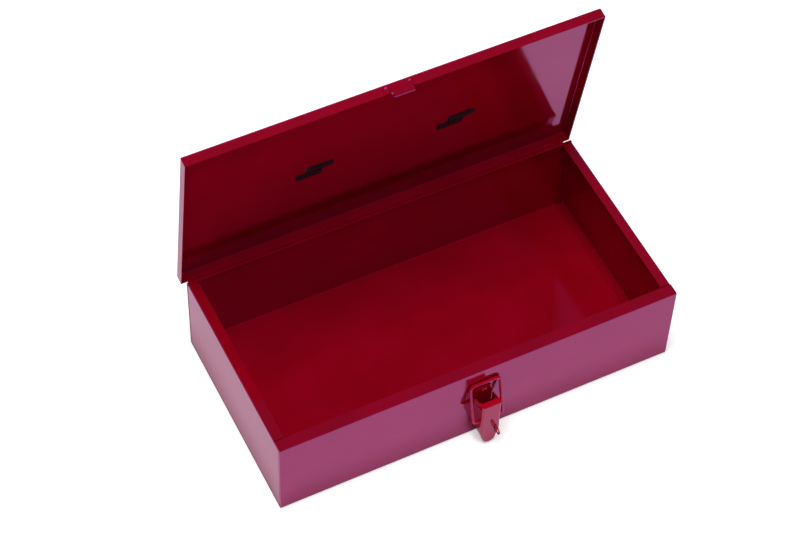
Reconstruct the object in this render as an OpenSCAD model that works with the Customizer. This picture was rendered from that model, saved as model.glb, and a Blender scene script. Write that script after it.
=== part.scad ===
// Steel tool case: a folded wrap closed by two end pans, with a shallow lid
// on a full-length piano hinge, a toggle latch with a wire bail at the front
// and a folding carrying handle on the lid.
// Origin at the centre of the base. +X runs along the front to the right,
// +Y to the back and +Z up. The front wall faces -Y.

/* [Case] */
// Length of the case along its front
case_l = 450; // [360:10:600]
// Depth of the case from front to back
case_d = 228; // [190:2:320]
// Height of the case up to its folded rim
case_h = 107; // [100:1:180]
// Thickness of the painted sheet steel
sheet_t = 1.0; // [0.8:0.1:1.2]
// Outer radius of the folds in the sheet
fold_r = 2; // [1.5:0.1:2.5]
// Width of the front rim flange
front_flange_w = 12.6; // [12:0.1:22]
// Width of the rim flange at each end
end_flange_w = 11.3; // [11:0.1:22]
// Width of the rear rim flange
rear_flange_w = 4; // [4:0.1:9]
// Gap where an end flange meets the front or rear flange
flange_gap = 0.8; // [0.4:0.1:1.4]
// Width of the tabs that join the end pans to the wrap
weld_tab_w = 9.5; // [7:0.5:14]

/* [Lid] */
// Angle that the lid stands open, from closed
lid_open = 81; // [0:1:105]
// Clearance from case to skirt at the front and the ends
lid_side_gap = 2.5; // [2:0.1:3]
// Clearance from case to skirt at the back
lid_rear_gap = 1.5; // [1.3:0.1:1.8]
// Gap above the rim when the lid is closed
lid_rest_gap = 0.3; // [0.3:0.1:0.6]
// Depth of the skirt, outside
skirt_h = 12; // [11:0.5:13]
// Outer radius of the lid's folds
lid_fold_r = 2; // [1.5:0.25:3]
// Width of the open seam at each skirt corner
corner_seam = 0.4; // [0.2:0.1:0.8]

/* [Hinge] */
// Radius of the knuckles, outside
knuckle_r = 2.4; // [2.3:0.05:2.6]
// Radius of the hinge pin
hinge_pin_r = 1.3; // [1.1:0.05:1.4]
// Running clearance on the hinge pin's radius
hinge_fit = 0.08; // [0.03:0.01:0.1]
// Number of knuckles, an odd number
knuckle_n = 17; // [9:2:23]
// Gap between neighbouring knuckles
knuckle_gap = 0.4; // [0.3:0.1:0.8]
// Thickness of the hinge leaves
leaf_t = 0.8; // [0.6:0.1:0.9]
// Distance of the hinge axis below the rim
hinge_drop = 13.5; // [13:0.1:14.5]
// Free length at each end of the hinge
hinge_inset = 4; // [2:1:15]
// Reach of the case leaf below the hinge axis
case_leaf_w = 32; // [28:1:40]

/* [Latch] */
// Distance of the latch to the right of the case's middle
latch_x = 2.5; // [-5:0.5:5]
// Width of the lever, outside
lever_w = 21.6; // [20.8:0.2:26]
// Thickness of the lever, base and cheeks
latch_t = 1.2; // [1:0.1:1.4]
// Height of the lever's top ledge above the ground
lever_top = 69; // [68:0.5:71]
// Height of the lever's tip above the ground
lever_tip = 1.5; // [1:0.5:6]
// Height of the lever pivot above the ground
pivot_z = 60; // [58:0.5:61]
// Distance of the lever pivot from the front wall
pivot_h = 13; // [12.5:0.1:13.5]
// Radius of the lever's pivot pin
pivot_r = 2; // [1.6:0.1:2.4]
// Running clearance on latch pivots, radial
latch_fit = 0.08; // [0.03:0.01:0.1]
// Distance between lever pivot and bail pivot
throw = 22; // [20:0.5:24]
// Radius of the bail wire
bail_r = 1.8; // [1.5:0.1:2]
// Width of the bail, outside
bail_w = 37; // [34:0.5:42]
// Length of the bail from its pivot to the bar
bail_l = 51; // [50:0.25:52]
// Radius of the hole in the padlock ear
ear_hole_r = 3; // [2:0.25:3.5]
// Distance from the front wall to the padlock hole
ear_hole_h = 25; // [24:0.5:28]

/* [Strike] */
// Width of the strike's plate
strike_w = 34; // [32:1:44]
// Width of the strike's hook
strike_hook_w = 22; // [16:1:23]
// Thickness of the strike
strike_t = 1.0; // [0.8:0.1:1.2]
// Clear width of the hook's throat
throat_w = 4.2; // [4.1:0.1:5]

/* [Handle] */
// Distance between the two handle brackets
bracket_span = 160; // [130:5:220]
// Radius of the handle's rod
rod_r = 3; // [2.5:0.25:3.5]
// Distance from the handle's pivot to its grip
handle_reach = 45; // [36:1:60]
// Length of the grip
grip_l = 112; // [80:2:116]
// Largest radius of the grip
grip_r = 10; // [8:0.5:12]
// Thickness of the handle brackets
bracket_t = 1.2; // [1:0.1:1.5]
// Length of each clinched prong inside the lid
prong_l = 28.5; // [18:0.5:32]

/* [Hidden] */
$fn = 48;
eps = 0.01;

// Case
half_l = case_l / 2;
half_d = case_d / 2;
wall_mid = sheet_t / 2;
fold_mid = fold_r - wall_mid;
notch = 2.5;
end_y0 = -half_d + front_flange_w + flange_gap;
end_y1 = half_d - rear_flange_w - flange_gap;

// Lid, closed
lid_x = half_l + lid_side_gap + sheet_t;
lid_y0 = -half_d - lid_side_gap - sheet_t;
lid_y1 = half_d + lid_rear_gap + sheet_t;
lid_in_z = case_h + lid_rest_gap;
lid_top_z = lid_in_z + sheet_t;
skirt_z = lid_top_z - skirt_h;
lid_mid_y = (lid_y0 + lid_y1) / 2;
weld_r = 2.5;
weld_deep = 0.25;
weld_pitch = 75;

// Hinge
hinge_y = lid_y1 + knuckle_r;
hinge_z = case_h - hinge_drop;
hinge_l = case_l - 2 * hinge_inset;
pitch = hinge_l / knuckle_n;
leaf_y = lid_y1 + leaf_t / 2;
leaf_wall_y = half_d + leaf_t / 2;
leaf_clear = 0.3;
leaf_root = sqrt(pow(knuckle_r + leaf_clear, 2) - pow(knuckle_r - leaf_t, 2));
crank_drop = 16.4;
crank_l = 4;
crank_z0 = hinge_z - crank_drop;
crank_z1 = crank_z0 - crank_l;
lid_leaf_top = lid_top_z - 3.3;

// Latch, in distances out from the front wall (h) and heights (z)
lever_h = pivot_h + 7;
lever_half = lever_w / 2;
lever_edge_r = 2;
tip_r = 7.2;
tip_z = lever_tip + tip_r;
shoulder = [lever_half, 20 - tip_z];
lever_taper = acos(tip_r / norm(shoulder)) - atan2(shoulder.y, shoulder.x);
ledge_h = 14;
flange_h = 1.5;
flange_z0 = 17.5;
flange_arc_r = pivot_h - flange_h + 0.05;
tongue_h = 15.5;
flange_top = lever_top - 3;
cheek_out = lever_half - latch_t - 1;
cheek_in = cheek_out - latch_t;
boss_r = 5.4;
cheek_top_a = 150;
cheek_low_a = -45;
bail_pivot_h = pivot_h + 0.5;
bail_pivot_z = pivot_z - throw;
base_z0 = 21;
base_z1 = 78;
base_r = 3;
ear_w = 8.8;
ear_z = base_z0 + ear_w / 2;
ear_x1 = 6.4;
ear_x0 = ear_x1 - latch_t;
slot_gap = 0.5;
slot_z0 = base_z0 - 2.7;
slot_z1 = base_z0 + ear_w + 1;
bail_gap = 0.25;
bail_end_x = lever_half - 2.8;
bail_arm_x = bail_w / 2 - bail_r;
bail_bend = [3, 5, 5, 3];
bail_lean = asin((bail_pivot_h - bail_r - bail_gap) / bail_l);
pin_head_r = pivot_r + 0.9;
pin_head_t = 1.2;
pin_head_gap = 0.3;

// Rivets
rivet_r = 1.6;
rivet_fit = 0.05;
rivet_head_r = 2.9;
rivet_head_h = 1.1;
rivet_tail_r = 2.3;
rivet_tail_h = 1.2;
base_rivets = [31, 41.5, 73];
strike_rivet_x = strike_w / 2 - 4;

// Strike on the closed lid
skirt_out_h = lid_side_gap + sheet_t;
strike_rise = 9.6;
strike_drop = 8.3;
strike_z1 = skirt_z + strike_rise;
strike_rivet_z = skirt_z + 4.9;
strike_back_h = skirt_out_h + 1.1 + strike_t / 2;
strike_z0 = skirt_z - strike_drop;
strike_lip_h = 1.2;
strike_lip_z = skirt_z + 0.7;

// Handle on the closed lid
bracket_x = bracket_span / 2;
bracket_half = 8.9;
bracket_foot = 20;
bracket_boss_r = rod_r + 3;
bracket_foot_h = 2;
saddle_a = 30;
handle_gap = 0.3;
handle_z = lid_top_z + grip_r + handle_gap;
rod_bend = 6;
rod_arm_x = bracket_x - bracket_half - 0.6 - rod_bend;
rod_end_x = bracket_x + bracket_half + 2;
handle_fit = 0.08;
prong_w = 7.9;
prong_y0 = 0.6;
prong_bend = 1.0;
prong_slot_gap = 0.5;
grip_end_r = grip_r - 2;
grip_fit = 0.02;
groove_n = 9;
groove_w = 3;
groove_deep = 0.9;

paint = [0.62, 0.02, 0.06];
paint_dark = [0.50, 0.01, 0.05];
black = [0.07, 0.07, 0.08];

function unit(v) = v / norm(v);
function turn(a, b) = acos(max(-1, min(1, a * b)));

// Profiles

// Band of thickness t around the origin, from angle a0 through sweep degrees.
module arc_band(r, t, a0, sweep) {
    reach = 2 * (r + t);
    intersection() {
        difference() {
            circle(r + t / 2);
            if (r > t / 2) circle(r - t / 2);
        }
        polygon(concat([[0, 0]], [for (k = [0:0.25:1]) reach * [cos(a0 + sweep * k), sin(a0 + sweep * k)]]));
    }
}

// Sheet of thickness t folded along the points p, with bends of mid radius r.
module folded(p, t, r) {
    n = len(p);
    d = [for (i = [0:n - 2]) unit(p[i + 1] - p[i])];
    k = [for (i = [0:n - 1]) (i == 0 || i == n - 1) ? 0 : r * tan(turn(d[i - 1], d[i]) / 2)];
    for (i = [0:n - 2]) {
        run = norm(p[i + 1] - p[i]) - k[i] - k[i + 1];
        if (run > eps)
            translate(p[i] + d[i] * k[i]) rotate(atan2(d[i].y, d[i].x))
            translate([0, -t / 2]) square([run, t]);
    }
    for (i = [1:1:n - 2]) {
        s = sign(cross(d[i - 1], d[i]));
        c = p[i] - d[i - 1] * k[i] + s * r * [-d[i - 1].y, d[i - 1].x];
        a = atan2(-s * d[i - 1].x, s * d[i - 1].y);
        translate(c) arc_band(r, t, a, s * turn(d[i - 1], d[i]));
    }
}

// Thin sheet of thickness t with sharp bends along the points p.
module creased(p, t) {
    n = len(p);
    d = [for (i = [0:n - 2]) unit(p[i + 1] - p[i])];
    m = [for (i = [0:n - 1])
        let (a = d[max(i - 1, 0)], b = d[min(i, n - 2)]) [-a.y - b.y, a.x + b.x] / (1 + a * b)];
    polygon(concat([for (i = [0:n - 1]) p[i] + m[i] * t / 2], [for (i = [n - 1:-1:0]) p[i] - m[i] * t / 2]));
}

// Rectangle from (x0, y0) to (x1, y1) with its upper corners rounded.
module top_round(x0, y0, x1, y1, r) {
    translate([x0, y0]) square([x1 - x0, y1 - y0 - r]);
    translate([x0 + r, y0]) square([x1 - x0 - 2 * r, y1 - y0]);
    for (x = [x0 + r, x1 - r]) translate([x, y1 - r]) circle(r);
}

// Rectangle from (x0, y0) to (x1, y1) with all corners rounded.
module round_box(x0, y0, x1, y1, r) {
    translate([x0, y0 + r]) square([x1 - x0, y1 - y0 - 2 * r]);
    translate([x0 + r, y0]) square([x1 - x0 - 2 * r, y1 - y0]);
    for (x = [x0 + r, x1 - r], y = [y0 + r, y1 - r]) translate([x, y]) circle(r);
}

// Where the tangent to the disc of radius r at c, with its normal at angle a, meets x = x0.
function flank(c, r, a, x0) = let (p = c + r * [cos(a), sin(a)]) [x0, p.y + (p.x - x0) / tan(a)];

// Disc of radius r at c with two straight flanks down to x = x0, normals at a0 and a1.
// The flanks lie a touch inside the tangents, so that they cross the disc cleanly.
module lug(c, r, a0, a1, x0) {
    s = r - 0.05;
    translate(c) circle(r);
    polygon([
        c, c + s * [cos(a0), sin(a0)], flank(c, s, a0, x0),
        flank(c, s, a1, x0), c + s * [cos(a1), sin(a1)]
    ]);
}

// Placement

// A profile in Y and Z, drawn out along X from x0 to x1.
module along_x(x0, x1) {
    translate([x0, 0, 0]) rotate([90, 0, 90]) linear_extrude(x1 - x0) children();
}

// A profile in X and Z, drawn out along Y from y0 to y1.
module along_y(y0, y1) {
    translate([0, y1, 0]) rotate([90, 0, 0]) linear_extrude(y1 - y0) children();
}

// A profile in X and Y, drawn out along Z from z0 to z1.
module along_z(z0, z1) {
    translate([0, 0, z0]) linear_extrude(z1 - z0) children();
}

// A profile in distance from the front wall and height, drawn out along X.
module side(x0, x1) {
    translate([x1, -half_d, 0]) rotate([90, 0, -90]) linear_extrude(x1 - x0) children();
}

// A profile in X and height, drawn out from the front wall from h0 to h1.
module facing(h0, h1) {
    along_y(-half_d - h1, -half_d - h0) children();
}

// A cylinder along X.
module rod_x(x0, x1, y, z, r) {
    translate([x0, y, z]) rotate([0, 90, 0]) cylinder(r = r, h = x1 - x0);
}

// A pin out from the front wall, from h0 to h1, at x and z.
module pin_out(h0, h1, x, z, r) {
    translate([x, -half_d - h0, z]) rotate([90, 0, 0]) cylinder(r = r, h = h1 - h0);
}

// Moves what is drawn for the latch to its place along the front.
module at_latch() {
    translate([latch_x, 0, 0]) children();
}

// Swings what is drawn for the closed lid to the lid's open angle.
module on_lid() {
    translate([0, hinge_y, hinge_z]) rotate([-lid_open, 0, 0]) translate([0, -hinge_y, -hinge_z]) children();
}

// Fasteners and wire

// Blind rivet out from the front wall, gripping from h0 to h1.
module rivet(x, z, h0, h1) {
    dome = (rivet_head_r * rivet_head_r + rivet_head_h * rivet_head_h) / (2 * rivet_head_h);
    pin_out(h0, h1, x, z, rivet_r);
    pin_out(h0 - rivet_tail_h, h0, x, z, rivet_tail_r);
    translate([x, -half_d - h1, z]) rotate([90, 0, 0]) rotate_extrude() intersection() {
        translate([0, rivet_head_h - dome]) circle(dome);
        square([rivet_head_r, rivet_head_h]);
    }
}

// Round wire of radius r through the points p with square bends of mid radius b[i].
module wire(p, r, b) {
    n = len(p);
    k = concat([0], b, [0]);
    for (i = [0:n - 2]) {
        d = unit(p[i + 1] - p[i]);
        a = p[i] + d * k[i];
        e = p[i + 1] - d * k[i + 1];
        translate([a.x, a.y, 0]) rotate([0, 0, atan2(d.y, d.x)]) rotate([0, 90, 0])
            cylinder(r = r, h = norm(e - a));
    }
    for (i = [1:n - 2]) {
        d1 = unit(p[i] - p[i - 1]);
        d2 = unit(p[i + 1] - p[i]);
        c = p[i] - d1 * k[i] + d2 * k[i];
        a = cross(d1, d2) > 0 ? atan2(-d2.y, -d2.x) : atan2(d1.y, d1.x);
        translate([c.x, c.y, 0]) rotate([0, 0, a]) rotate_extrude(angle = 90) translate([k[i], 0]) circle(r);
    }
}

// Case

module case_wrap() {
    y0 = -half_d + wall_mid;
    y1 = half_d - wall_mid;
    z0 = wall_mid;
    z1 = case_h - wall_mid;
    path = [
        [-half_d + front_flange_w, z1], [y0, z1], [y0, z0],
        [y1, z0], [y1, z1], [half_d - rear_flange_w, z1]
    ];
    color(paint) difference() {
        along_x(-half_l, half_l) folded(path, sheet_t, fold_mid);
        for (z = base_rivets) pin_out(-sheet_t - eps, eps, latch_x, z, rivet_r + rivet_fit);
    }
}

// Pan that closes the right end: plate, three weld tabs and the rim flange.
module end_pan() {
    x_out = half_l - wall_mid;
    y0 = -half_d + sheet_t + wall_mid;
    y1 = half_d - sheet_t - wall_mid;
    z0 = sheet_t + wall_mid;
    z1 = case_h - wall_mid;
    tab_x = half_l - weld_tab_w;
    // front and rear tabs
    along_z(sheet_t + notch, case_h - fold_r)
        folded([[tab_x, y0], [x_out, y0], [x_out, y1], [tab_x, y1]], sheet_t, fold_mid);
    // bottom tab
    along_y(-half_d + sheet_t + notch, half_d - sheet_t - notch)
        folded([[tab_x, z0], [x_out, z0], [x_out, case_h / 2]], sheet_t, fold_mid);
    // rim flange
    along_y(end_y0, end_y1)
        folded([[half_l - end_flange_w, z1], [x_out, z1], [x_out, case_h / 2]], sheet_t, fold_mid);
}

module end_panel_right() {
    color(paint) end_pan();
}

module end_panel_left() {
    color(paint) mirror([1, 0, 0]) end_pan();
}

// Lid

// Block with rounded upper edges, drawn in by inset and with its foot at z0.
module lid_block(inset, z0) {
    r = lid_fold_r - inset;
    top = lid_top_z - inset;
    intersection() {
        along_x(-lid_x + inset, lid_x - inset) top_round(lid_y0 + inset, z0, lid_y1 - inset, top, r);
        along_y(lid_y0 + inset, lid_y1 - inset) top_round(-lid_x + inset, z0, lid_x - inset, top, r);
    }
}

// Openings through the lid for a bracket's two prongs.
module prong_slots() {
    g = prong_slot_gap;
    for (a = [0, 180]) rotate([0, 0, a])
        translate([bracket_half - bracket_t - g, prong_y0 - g, -sheet_t - eps])
        cube([bracket_t + 2 * g, prong_w + 2 * g, sheet_t + 2 * eps]);
}

module lid_shell() {
    seam_x = lid_x - sheet_t - eps;
    weld_n = floor((lid_x - 20) / weld_pitch);
    color(paint_dark) on_lid() difference() {
        lid_block(0, skirt_z);
        lid_block(sheet_t, skirt_z - eps);
        // open seams at the four corners of the skirt
        for (s = [-1, 1], y = [lid_y0 + sheet_t, lid_y1 - sheet_t - corner_seam])
            translate([s > 0 ? seam_x : -seam_x - sheet_t - 2 * eps, y, skirt_z - eps])
            cube([sheet_t + 2 * eps, corner_seam, skirt_h - lid_fold_r]);
        // spot welds that hold the hinge leaf
        for (i = [-weld_n:weld_n])
            translate([i * weld_pitch, lid_y1 - sheet_t - eps, skirt_z + skirt_h / 2])
            rotate([-90, 0, 0]) cylinder(r = weld_r, h = weld_deep + eps);
        for (s = [-1, 1]) {
            pin_out(lid_side_gap - eps, skirt_out_h + eps, s * strike_rivet_x, strike_rivet_z,
                rivet_r + rivet_fit);
            translate([s * bracket_x, lid_mid_y, lid_top_z]) prong_slots();
        }
    }
}

// Hinge

// Every second knuckle, from the knuckle first, with the tab that joins it to its leaf.
module knuckles(first, tab_end) {
    for (i = [first:2:knuckle_n - 1]) {
        x0 = -hinge_l / 2 + i * pitch + knuckle_gap / 2;
        x1 = x0 + pitch - knuckle_gap;
        rod_x(x0, x1, hinge_y, hinge_z, knuckle_r);
        along_x(x0, x1) translate([lid_y1, min(hinge_z, tab_end)]) square([leaf_t, abs(tab_end - hinge_z)]);
    }
}

module hinge_bore() {
    rod_x(-half_l, half_l, hinge_y, hinge_z, hinge_pin_r + hinge_fit);
}

module hinge_case_leaf() {
    path = [
        [leaf_y, hinge_z - leaf_root], [leaf_y, crank_z0],
        [leaf_wall_y, crank_z1], [leaf_wall_y, hinge_z - case_leaf_w]
    ];
    color(paint) difference() {
        union() {
            knuckles(0, hinge_z - leaf_root - eps);
            along_x(-hinge_l / 2, hinge_l / 2) creased(path, leaf_t);
        }
        hinge_bore();
        // spot welds along the flat of the leaf
        for (i = [-2:2])
            translate([i * weld_pitch, half_d + leaf_t - weld_deep, (crank_z1 + hinge_z - case_leaf_w) / 2])
            rotate([-90, 0, 0]) cylinder(r = weld_r, h = weld_deep + eps);
    }
}

module hinge_lid_leaf() {
    z0 = hinge_z + leaf_root;
    color(paint) on_lid() difference() {
        union() {
            knuckles(1, z0 + eps);
            along_x(-hinge_l / 2, hinge_l / 2) translate([lid_y1, z0]) square([leaf_t, lid_leaf_top - z0]);
        }
        hinge_bore();
    }
}

module hinge_pin() {
    color("silver") rod_x(-hinge_l / 2, hinge_l / 2, hinge_y, hinge_z, hinge_pin_r);
}

// Latch

module latch_base() {
    fold = latch_t * 1.5;
    color(paint) at_latch() difference() {
        union() {
            // back plate, narrower beside the padlock ear
            facing(0, latch_t) difference() {
                round_box(-cheek_out, base_z0, cheek_out, base_z1, base_r);
                translate([ear_x1 - fold, base_z0 - eps]) square([cheek_out, ear_w + 1.2]);
            }
            // cheeks that carry the lever's pin
            for (s = [-1, 1])
                side(s > 0 ? cheek_in : -cheek_out, s > 0 ? cheek_out : -cheek_in)
                lug([pivot_h, pivot_z], boss_r, cheek_top_a, cheek_low_a, eps);
            // padlock ear, folded out of the plate
            along_z(base_z0, base_z0 + ear_w)
                folded([
                    [0, -half_d - latch_t / 2], [ear_x1 - latch_t / 2, -half_d - latch_t / 2],
                    [ear_x1 - latch_t / 2, -half_d - ear_w]
                ], latch_t, fold - latch_t / 2);
            side(ear_x0, ear_x1) {
                translate([ear_hole_h, ear_z]) circle(ear_w / 2);
                translate([fold, base_z0]) square([ear_hole_h - fold, ear_w]);
            }
        }
        rod_x(-lever_half, lever_half, -half_d - pivot_h, pivot_z, pivot_r + eps);
        rod_x(ear_x0 - 1, ear_x1 + 1, -half_d - ear_hole_h, ear_z, ear_hole_r);
        for (z = base_rivets) pin_out(-eps, latch_t + eps, 0, z, rivet_r + rivet_fit);
    }
}

module latch_base_rivets() {
    color(paint) for (z = base_rivets) rivet(latch_x, z, -sheet_t, latch_t);
}

// Bar with rounded outer edges that tapers to a round lower end, drawn in by inset.
// The tapered sides lie a touch inside the tangents, so that they cross the round end cleanly.
module lever_block(inset) {
    w = lever_half - inset;
    r = lever_edge_r - inset;
    out = lever_h - inset;
    tip = tip_r - inset;
    edge = tip - 0.1;
    translate([0, -half_d, tip_z]) {
        intersection() {
            along_z(-edge * sin(lever_taper), lever_top - inset - tip_z)
                rotate(180) top_round(-w, 0, w, out, r);
            rotate([0, lever_taper, 0]) along_z(-lever_half, lever_top)
                rotate(180) top_round(-edge, 0, 4 * lever_half, out, r + 0.1);
            rotate([0, -lever_taper, 0]) along_z(-lever_half, lever_top)
                rotate(180) top_round(-4 * lever_half, 0, edge, out, r + 0.1);
        }
        rotate([90, 0, 0]) rotate_extrude() intersection() {
            top_round(-tip, 0, tip, out, r - 0.15);
            square([tip, out]);
        }
    }
}

// Side view of the lever, which sets how deep its flanges are. The round corner
// behind the pivot clears the wall as the lever swings.
module lever_side() {
    intersection() {
        union() {
            translate([pivot_h, pivot_z]) circle(flange_arc_r);
            translate([flange_h, flange_z0]) square([lever_h - flange_h, pivot_z - flange_z0]);
            translate([tongue_h, 0]) square([lever_h - tongue_h, pivot_z]);
            translate([pivot_h, flange_z0]) square([lever_h - pivot_h, lever_top - flange_z0]);
        }
        polygon([
            [0, 0], [0, flange_top - 3], [ledge_h, flange_top + 1.5],
            [ledge_h, lever_top], [lever_h, lever_top], [lever_h, 0]
        ]);
        union() {
            square([lever_h, lever_top - lever_edge_r]);
            square([lever_h - lever_edge_r, lever_top]);
            translate([lever_h - lever_edge_r, lever_top - lever_edge_r]) circle(lever_edge_r);
        }
    }
}

module latch_lever() {
    color(paint) at_latch() difference() {
        intersection() {
            difference() {
                lever_block(0);
                lever_block(latch_t);
            }
            side(-lever_half, lever_half) lever_side();
        }
        // slot that lets the padlock ear through
        facing(tongue_h, lever_h + 1)
            round_box(ear_x0 - slot_gap, slot_z0, ear_x1 + slot_gap, slot_z1, latch_t / 2 + slot_gap - 0.1);
        rod_x(-lever_half - 1, lever_half + 1, -half_d - pivot_h, pivot_z, pivot_r + latch_fit);
        rod_x(-lever_half - 1, lever_half + 1, -half_d - bail_pivot_h, bail_pivot_z, bail_r + latch_fit);
    }
}

module latch_lever_pin() {
    head_x = lever_half + pin_head_gap;
    color(paint) at_latch() {
        rod_x(-head_x, head_x, -half_d - pivot_h, pivot_z, pivot_r);
        for (s = [-1, 1])
            rod_x(s > 0 ? head_x : -head_x - pin_head_t, s > 0 ? head_x + pin_head_t : -head_x,
                -half_d - pivot_h, pivot_z, pin_head_r);
    }
}

module latch_bail() {
    path = [
        [bail_end_x, 0], [bail_arm_x, 0], [bail_arm_x, bail_l],
        [-bail_arm_x, bail_l], [-bail_arm_x, 0], [-bail_end_x, 0]
    ];
    color(paint) translate([latch_x, -half_d - bail_pivot_h, bail_pivot_z])
        rotate([90 - bail_lean, 0, 0]) wire(path, bail_r, bail_bend);
}

// Strike

module strike_plate() {
    h_plate = skirt_out_h + strike_t / 2;
    h_lip = strike_back_h + throat_w + strike_t;
    bend = (throat_w + strike_t) / 2;
    z_bend = strike_z0 + bend + strike_t / 2;
    back = [
        [h_plate, skirt_z + 2], [h_plate, skirt_z - 0.4],
        [strike_back_h, skirt_z - 2.6], [strike_back_h, z_bend]
    ];
    lip = [[h_lip, z_bend], [h_lip, z_bend + 0.8], [h_lip + strike_lip_h, strike_lip_z]];
    color(paint) on_lid() difference() {
        union() {
            facing(skirt_out_h, skirt_out_h + strike_t)
                round_box(-strike_w / 2, skirt_z, strike_w / 2, strike_z1, 2);
            side(-strike_hook_w / 2, strike_hook_w / 2) {
                creased(back, strike_t);
                translate([strike_back_h + bend, z_bend]) arc_band(bend, strike_t, 180, 180);
                creased(lip, strike_t);
            }
        }
        for (s = [-1, 1])
            pin_out(skirt_out_h - eps, skirt_out_h + strike_t + eps, s * strike_rivet_x, strike_rivet_z,
                rivet_r + rivet_fit);
    }
}

module strike_rivets() {
    color(paint) on_lid() for (s = [-1, 1])
        rivet(s * strike_rivet_x, strike_rivet_z, lid_side_gap, skirt_out_h + strike_t);
}

// Handle

// One cheek of a bracket with its prong, at the bracket's right side.
module bracket_half_shape() {
    rise = handle_z - lid_top_z;
    x_mid = bracket_half - bracket_t / 2;
    z_mid = -sheet_t - bracket_t / 2;
    along_x(bracket_half - bracket_t, bracket_half) {
        translate([0, rise]) circle(bracket_boss_r);
        polygon([
            [-bracket_foot / 2, 0], [bracket_foot / 2, 0], [bracket_foot / 2, bracket_foot_h],
            [bracket_boss_r, rise], [-bracket_boss_r, rise], [-bracket_foot / 2, bracket_foot_h]
        ]);
    }
    along_y(prong_y0, prong_y0 + prong_w)
        folded([[x_mid, rise / 2], [x_mid, z_mid], [x_mid - prong_l, z_mid]], bracket_t, prong_bend);
}

module handle_bracket() {
    rise = handle_z - lid_top_z;
    color(black) difference() {
        union() {
            for (a = [0, 180]) rotate([0, 0, a]) bracket_half_shape();
            along_x(-bracket_half, bracket_half) translate([0, rise])
                arc_band(bracket_boss_r - bracket_t / 2, bracket_t, saddle_a, 180 - 2 * saddle_a);
        }
        rod_x(-bracket_half - 1, bracket_half + 1, 0, rise, rod_r + handle_fit);
    }
}

module handle_bracket_left() {
    on_lid() translate([-bracket_x, lid_mid_y, lid_top_z]) handle_bracket();
}

module handle_bracket_right() {
    on_lid() translate([bracket_x, lid_mid_y, lid_top_z]) handle_bracket();
}

module handle_rod() {
    path = [
        [rod_end_x, 0], [rod_arm_x, 0], [rod_arm_x, handle_reach],
        [-rod_arm_x, handle_reach], [-rod_arm_x, 0], [-rod_end_x, 0]
    ];
    color("silver") on_lid() translate([0, lid_mid_y, handle_z])
        wire(path, rod_r, [rod_bend, rod_bend, rod_bend, rod_bend]);
}

module handle_grip() {
    half = grip_l / 2;
    // large arc that swells the grip from its ends to its middle
    swell = (half * half + pow(grip_r - grip_end_r, 2)) / (2 * (grip_r - grip_end_r));
    step = grip_l * 0.8 / (groove_n - 1);
    color(black) on_lid() translate([-half, lid_mid_y + handle_reach, handle_z]) rotate([0, 90, 0])
    rotate_extrude() difference() {
        intersection() {
            translate([grip_r - swell, half]) circle(swell, $fn = 360);
            round_box(-grip_r, 0, grip_r, grip_l, 3);
        }
        translate([-grip_r, -eps]) square([grip_r + rod_r + grip_fit, grip_l + 2 * eps]);
        for (i = [0:groove_n - 1])
            translate([grip_r + groove_w / 2 - groove_deep, half + (i - (groove_n - 1) / 2) * step])
            circle(groove_w / 2);
    }
}

case_wrap();
end_panel_left();
end_panel_right();
hinge_case_leaf();
hinge_lid_leaf();
hinge_pin();
lid_shell();
latch_base();
latch_base_rivets();
latch_lever();
latch_lever_pin();
latch_bail();
strike_plate();
strike_rivets();
handle_grip();
handle_rod();
handle_bracket_left();
handle_bracket_right();
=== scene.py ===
# %% [markdown]
# # A red enamelled tool case
#
# The case is folded from steel sheet and stove enamelled. Its exact solids come
# ready-made from the imported frame, so this lesson is about the rest: how gloss
# paint, blackened steel, zinc plate and moulded plastic are built from nodes,
# and how a plain studio shows them off.
#
# We load the frame first.

# %% Load the frame
import math

import bpy
from mathutils import Matrix, Vector

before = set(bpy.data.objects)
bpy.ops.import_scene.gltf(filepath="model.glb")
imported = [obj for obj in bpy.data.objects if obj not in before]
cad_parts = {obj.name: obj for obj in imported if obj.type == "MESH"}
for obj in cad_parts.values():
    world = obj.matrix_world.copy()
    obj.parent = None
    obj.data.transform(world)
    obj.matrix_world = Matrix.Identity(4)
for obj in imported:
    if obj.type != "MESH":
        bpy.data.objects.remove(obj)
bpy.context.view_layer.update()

# %% [markdown]
# ## The camera
#
# The camera was found by matching the corners of the case and the lid with the
# photograph. It stands 28 degrees left of the front and looks 53 degrees down
# through a long lens, so the case hardly narrows towards the back. The picture
# leans by two and a half degrees, which is a turn about the line of sight.

# %% Camera
AZIMUTH, ELEVATION, ROLL = (math.radians(a) for a in (-28.331, 53.069, 2.461))
TARGET = Vector((-0.00104, 0.06945, 0.060))
DISTANCE = 2.53397
FOCAL_PX, PICTURE_PX, SENSOR_MM = 2393.1, 800, 36.0

back = Vector((
    math.sin(AZIMUTH) * math.cos(ELEVATION),
    -math.cos(AZIMUTH) * math.cos(ELEVATION),
    math.sin(ELEVATION),
))
right = (-back).cross(Vector((0, 0, 1))).normalized()
up = back.cross(right)
turned_right = right * math.cos(ROLL) + up * math.sin(ROLL)
turned_up = up * math.cos(ROLL) - right * math.sin(ROLL)

lens = bpy.data.cameras.new("camera")
lens.sensor_width = SENSOR_MM
lens.lens = FOCAL_PX / PICTURE_PX * SENSOR_MM
camera = bpy.data.objects.new("camera", lens)
bpy.context.collection.objects.link(camera)
axes = Matrix((turned_right, turned_up, back)).transposed().to_4x4()
camera.matrix_world = Matrix.Translation(TARGET + back * DISTANCE) @ axes
bpy.context.scene.camera = camera
print("lens:", round(lens.lens, 1), "mm")

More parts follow.
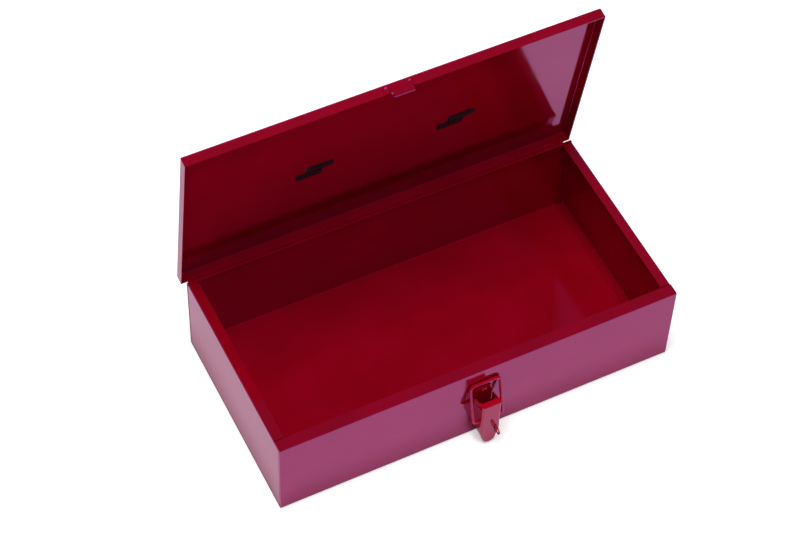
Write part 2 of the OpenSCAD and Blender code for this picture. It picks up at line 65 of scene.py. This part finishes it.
# %% [markdown]
# ## Small helpers
#
# Colours are written as the eye reads them, in sRGB hex, and Blender's shaders
# want linear light, so one function turns one into the other. Another adds a
# node to a tree, with its settings and its links, in one line. The settings of a
# two-colour ramp come up in every material, so they have a helper of their own.
#
# Blender's noise gives values around a half and seldom leaves 0.3 to 0.7. Where
# noise drives roughness, that band is stretched to the range that is wanted.

# %% Helpers
MM = 0.001
NOISE_BAND = {"From_Min": 0.3, "From_Max": 0.7}


def linear(hex_code):
    """An sRGB hex colour as linear RGBA."""
    shades = [int(hex_code[i:i + 2], 16) / 255 for i in (1, 3, 5)]
    light = [c / 12.92 if c <= 0.04045 else ((c + 0.055) / 1.055) ** 2.4 for c in shades]
    return (*light, 1.0)


def wire(tree, node, **inputs):
    """Fill a node's sockets by name: a value is typed in, a socket is linked."""
    for name, value in inputs.items():
        socket = node.inputs[name.replace("_", " ")]
        if isinstance(value, bpy.types.NodeSocket):
            tree.links.new(value, socket)
        else:
            socket.default_value = value


def add(tree, kind, settings=None, **inputs):
    """A new node of that kind, with its settings by path and its sockets filled."""
    node = tree.nodes.new(kind)
    for path, value in (settings or {}).items():
        owner, _, name = path.rpartition(".")
        setattr(node.path_resolve(owner) if owner else node, name, value)
    wire(tree, node, **inputs)
    return node


def two_stops(low, first, high, second):
    """The settings of a colour ramp from first, at low, to second, at high."""
    return {
        "color_ramp.elements[0].position": low,
        "color_ramp.elements[0].color": linear(first),
        "color_ramp.elements[1].position": high,
        "color_ramp.elements[1].color": linear(second),
    }


def new_material(name):
    """An empty material, its tree, its shader and the coordinates of the object."""
    material = bpy.data.materials.new(name)
    material.use_nodes = True
    tree = material.node_tree
    tree.nodes.clear()
    shader = add(tree, "ShaderNodeBsdfPrincipled")
    add(tree, "ShaderNodeOutputMaterial", Surface=shader.outputs["BSDF"])
    place = add(tree, "ShaderNodeTexCoord").outputs["Object"]
    return material, tree, shader, place


print("middle grey in linear light:", round(linear("#808080")[0], 3))

# %% [markdown]
# ## Red stove enamel
#
# The case was sprayed and baked. Such enamel flows out before it hardens, so it
# is glossy, with a faint waviness a couple of millimetres across that painters
# call orange peel. Pigment is the same all over, and what changes is how thick
# the film lies: a touch darker in broad, slow drifts. Patches 25 mm across are
# a little hazier than the rest.
#
# The photograph shows lilac where a wall mirrors the bright table, so the paint
# tints what it mirrors, and the tint sits on the specular reflection. The index
# of refraction starts from the 1.5 of common paints and is raised until the
# walls mirror as much as they do in the photograph.

# %% Red stove enamel
DRIFT, PEEL, HAZE = 60 * MM, 2.5 * MM, 25 * MM
PEEL_HEIGHT, PEEL_STRENGTH = 0.05 * MM, 0.05
ENAMEL_ROUGHNESS = {"To_Min": 0.07, "To_Max": 0.12}
ENAMEL_IOR = 1.9
MIRROR_TINT = "#ff6ae0"


def red_enamel(name, light, deep, gloss):
    """Enamel over steel. light and deep are the two ends of its slow drift."""
    material, tree, shader, place = new_material(name)
    drift = add(tree, "ShaderNodeTexNoise", Vector=place, Scale=1 / DRIFT, Detail=2.0)
    colour = add(
        tree, "ShaderNodeValToRGB", two_stops(0.35, deep, 0.65, light),
        Fac=drift.outputs["Fac"],
    )
    peel = add(tree, "ShaderNodeTexNoise", Vector=place, Scale=1 / PEEL, Detail=1.0)
    waves = add(
        tree, "ShaderNodeBump",
        Strength=PEEL_STRENGTH, Distance=PEEL_HEIGHT, Height=peel.outputs["Fac"],
    )
    haze = add(tree, "ShaderNodeTexNoise", Vector=place, Scale=1 / HAZE, Detail=3.0)
    rough = add(
        tree, "ShaderNodeMapRange",
        Value=haze.outputs["Fac"], **NOISE_BAND, **ENAMEL_ROUGHNESS,
    )
    wire(
        tree, shader,
        Base_Color=colour.outputs["Color"],
        Normal=waves.outputs["Normal"],
        Roughness=rough.outputs["Result"],
        IOR=ENAMEL_IOR,
        Specular_IOR_Level=gloss,
        Specular_Tint=linear(MIRROR_TINT),
    )
    return material


enamel = red_enamel("red_stove_enamel", "#960218", "#8c0212", gloss=1.0)
latch_enamel = red_enamel("red_latch_enamel", "#b4041e", "#aa0318", gloss=0.62)
print("made", enamel.name, "and", latch_enamel.name)

# %% [markdown]
# ## Blackened steel
#
# The brackets of the handle are pressed steel with a thin black finish. It is
# matt and slightly cloudy, with the fine grit of the etched surface below it.

# %% Blackened steel
CLOUD, GRIT = 6 * MM, 0.6 * MM
GRIT_HEIGHT, GRIT_STRENGTH = 0.05 * MM, 0.15
BLACKED_ROUGHNESS = {"To_Min": 0.45, "To_Max": 0.6}
BLACKED_GLOSS = 0.35


def blackened_steel():
    """Thin black finish over pressed steel."""
    material, tree, shader, place = new_material("blackened_steel")
    cloud = add(tree, "ShaderNodeTexNoise", Vector=place, Scale=1 / CLOUD, Detail=4.0)
    colour = add(
        tree, "ShaderNodeValToRGB", two_stops(0.35, "#020202", 0.7, "#080808"),
        Fac=cloud.outputs["Fac"],
    )
    grit = add(tree, "ShaderNodeTexNoise", Vector=place, Scale=1 / GRIT, Detail=2.0)
    skin = add(
        tree, "ShaderNodeBump",
        Strength=GRIT_STRENGTH, Distance=GRIT_HEIGHT, Height=grit.outputs["Fac"],
    )
    rough = add(
        tree, "ShaderNodeMapRange",
        Value=cloud.outputs["Fac"], **NOISE_BAND, **BLACKED_ROUGHNESS,
    )
    wire(
        tree, shader,
        Base_Color=colour.outputs["Color"],
        Normal=skin.outputs["Normal"],
        Roughness=rough.outputs["Result"],
        Specular_IOR_Level=BLACKED_GLOSS,
    )
    return material


black_steel = blackened_steel()
print("made", black_steel.name)

# %% [markdown]
# ## Zinc-plated steel
#
# The handle's rod and the hinge's pin are drawn wire. Drawing leaves hair-thin
# lines along the wire, and plating softens them to a satin shine. The noise is
# stretched along X, the way that the pin and most of the rod run. The lines are
# drawn 0.4 mm apart, coarser than real ones, so that they show.

# %% Zinc-plated steel
WIRE_LINE = 0.4 * MM
ALONG_WIRE = (0.03, 1.0, 1.0)
ZINC_ROUGHNESS = {"To_Min": 0.24, "To_Max": 0.36}


def zinc_plate():
    """Drawn and plated wire, with its fine lines along X."""
    material, tree, shader, place = new_material("zinc_plated_steel")
    along = add(tree, "ShaderNodeMapping", Vector=place, Scale=ALONG_WIRE)
    lines = add(
        tree, "ShaderNodeTexNoise",
        Vector=along.outputs["Vector"], Scale=1 / WIRE_LINE, Detail=3.0,
    )
    colour = add(
        tree, "ShaderNodeValToRGB", two_stops(0.3, "#9b9c9e", 0.7, "#c2c3c4"),
        Fac=lines.outputs["Fac"],
    )
    rough = add(
        tree, "ShaderNodeMapRange",
        Value=lines.outputs["Fac"], **NOISE_BAND, **ZINC_ROUGHNESS,
    )
    wire(
        tree, shader,
        Base_Color=colour.outputs["Color"],
        Roughness=rough.outputs["Result"],
        Metallic=1.0,
    )
    return material


zinc = zinc_plate()
print("made", zinc.name)

# %% [markdown]
# ## Moulded black plastic
#
# The grip is moulded polypropylene from a spark-eroded mould, which leaves an
# even fine grain about a third of a millimetre across, and a soft sheen. Broad
# patches are a shade greyer, where a hand has been.

# %% Moulded black plastic
GRAIN, HANDLING = 0.35 * MM, 14 * MM
GRAIN_HEIGHT, GRAIN_STRENGTH = 0.06 * MM, 0.35
PLASTIC_ROUGHNESS = {"To_Min": 0.42, "To_Max": 0.56}
POLYPROPYLENE_IOR = 1.49


def black_plastic():
    """Spark-eroded polypropylene."""
    material, tree, shader, place = new_material("moulded_polypropylene")
    grain = add(tree, "ShaderNodeTexNoise", Vector=place, Scale=1 / GRAIN, Detail=1.0)
    skin = add(
        tree, "ShaderNodeBump",
        Strength=GRAIN_STRENGTH, Distance=GRAIN_HEIGHT, Height=grain.outputs["Fac"],
    )
    wear = add(tree, "ShaderNodeTexNoise", Vector=place, Scale=1 / HANDLING, Detail=3.0)
    colour = add(
        tree, "ShaderNodeValToRGB", two_stops(0.35, "#141415", 0.7, "#1d1d1f"),
        Fac=wear.outputs["Fac"],
    )
    rough = add(
        tree, "ShaderNodeMapRange",
        Value=wear.outputs["Fac"], **NOISE_BAND, **PLASTIC_ROUGHNESS,
    )
    wire(
        tree, shader,
        Base_Color=colour.outputs["Color"],
        Normal=skin.outputs["Normal"],
        Roughness=rough.outputs["Result"],
        IOR=POLYPROPYLENE_IOR,
    )
    return material


plastic = black_plastic()
print("made", plastic.name)

# %% [markdown]
# ## Dressing the pieces
#
# Each node of the frame keeps its shape and only changes its material. The sheet
# metal shares one enamel. The latch is a bought part with a coat of its own, a
# touch brighter and less glossy.

# %% Dress the pieces
FINISH = {
    "hinge_pin": zinc,
    "handle_rod": zinc,
    "handle_grip": plastic,
    "handle_bracket_left": black_steel,
    "handle_bracket_right": black_steel,
    "latch_base": latch_enamel,
    "latch_base_rivets": latch_enamel,
    "latch_lever": latch_enamel,
    "latch_lever_pin": latch_enamel,
    "latch_bail": latch_enamel,
}
for name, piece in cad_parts.items():
    piece.data.materials.clear()
    piece.data.materials.append(FINISH.get(name, enamel))
print("dressed", len(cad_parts), "pieces,", len(FINISH), "with a finish of their own")

# %% [markdown]
# ## The floor
#
# The floor is a plain white table, wide enough to fill the view, and it is what
# the walls of the case mirror. To the camera alone it glows a little besides,
# and more so far from the case. That way it reads as white up to the horizon
# and still keeps the soft shadow, and the glow puts no light on the case. It
# lies a fifth of a millimetre under the case, so the two never share a plane.

# %% Floor
FLOOR_HALF, FLOOR_DROP = 12.0, 0.2 * MM
SPECKLE = 4 * MM
GLOW_FROM_TO = {"From_Min": 0.8, "From_Max": 3.0}
GLOW_STRENGTH = {"To_Min": 0.42, "To_Max": 1.1}

floor_mesh = bpy.data.meshes.new("floor")
corners = [(-1, -1), (1, -1), (1, 1), (-1, 1)]
floor_mesh.from_pydata(
    [(x * FLOOR_HALF, y * FLOOR_HALF, -FLOOR_DROP) for x, y in corners], [], [(0, 1, 2, 3)],
)
floor = bpy.data.objects.new("floor", floor_mesh)
bpy.context.collection.objects.link(floor)

table_top, tree, shader, place = new_material("white_table_top")
speckle = add(tree, "ShaderNodeTexNoise", Vector=place, Scale=1 / SPECKLE, Detail=2.0)
white = add(
    tree, "ShaderNodeValToRGB", two_stops(0.3, "#fbfbfb", 0.7, "#fefefe"),
    Fac=speckle.outputs["Fac"],
)
away = add(tree, "ShaderNodeVectorMath", {"operation": "LENGTH"}, Vector=place)
far_glow = add(
    tree, "ShaderNodeMapRange",
    Value=away.outputs["Value"], **GLOW_FROM_TO, **GLOW_STRENGTH,
)
seen = add(tree, "ShaderNodeLightPath")
glow = add(tree, "ShaderNodeMath", {"operation": "MULTIPLY"})
tree.links.new(seen.outputs["Is Camera Ray"], glow.inputs[0])
tree.links.new(far_glow.outputs["Result"], glow.inputs[1])
wire(
    tree, shader,
    Base_Color=white.outputs["Color"],
    Roughness=0.8,
    Specular_IOR_Level=0.1,
    Emission_Color=linear("#ffffff"),
    Emission_Strength=glow.outputs["Value"],
)
floor_mesh.materials.append(table_top)
print("floor", 2 * FLOOR_HALF, "m wide")

# %% [markdown]
# ## The lamps
#
# One large lamp hangs almost straight above, where the glossy inside doesn't
# mirror it towards the camera. It lights the paint but is kept out of its
# mirrored images, or a view from above would show little but that lamp in the
# floor of the case. A second one stands far off in front, and lights the front
# wall and the strip of the hinge. The third is a wide, dim panel behind the
# case, for the back and the lid's outer face. It is wide because a small lamp of
# the same power would show there as a glaring patch.

# %% Lamps
LAMPS = {  # position and aim in metres, width in metres, power in watts
    "key_lamp": ((-0.4, -0.05, 3.0), (0, 0, 0.1), 1.2, 60),
    "front_lamp": ((0.0, -2.4, 5.5), (0, 0, 0.1), 0.8, 72),
    "back_lamp": ((0.0, 4.5, 2.3), (0, 0, 0.15), 4.0, 60),
}


def soft_lamp(name, position, aim, width, watts):
    """A square area lamp at position that faces aim."""
    light = bpy.data.lights.new(name, "AREA")
    light.shape = "SQUARE"
    light.size = width
    light.energy = watts
    lamp = bpy.data.objects.new(name, light)
    bpy.context.collection.objects.link(lamp)
    lamp.location = position
    sight = Vector(aim) - Vector(position)
    lamp.rotation_euler = sight.to_track_quat("-Z", "Y").to_euler()
    return lamp


lamps = {name: soft_lamp(name, *facts) for name, facts in LAMPS.items()}
lamps["key_lamp"].visible_glossy = False
print("lamps:", ", ".join(lamps))

# %% [markdown]
# ## The room
#
# A dim grey room fills the shadows, and the gloss mirrors it dark, as the lid
# does in the photograph. The camera alone sees it white. The view transform is
# Standard, so a colour shows as it is written.

# %% Room
ROOM_GREY, BACKDROP_WHITE = "#4a4a4d", "#ffffff"

world = bpy.data.worlds.new("studio")
bpy.context.scene.world = world
world.use_nodes = True
room = world.node_tree
room.nodes.clear()
dim = add(room, "ShaderNodeBackground", Color=linear(ROOM_GREY))
bright = add(room, "ShaderNodeBackground", Color=linear(BACKDROP_WHITE))
view = add(room, "ShaderNodeLightPath")
either = add(room, "ShaderNodeMixShader", Fac=view.outputs["Is Camera Ray"])
room.links.new(dim.outputs["Background"], either.inputs[1])
room.links.new(bright.outputs["Background"], either.inputs[2])
add(room, "ShaderNodeOutputWorld", Surface=either.outputs["Shader"])
bpy.context.scene.view_settings.view_transform = "Standard"
print("room:", world.name)
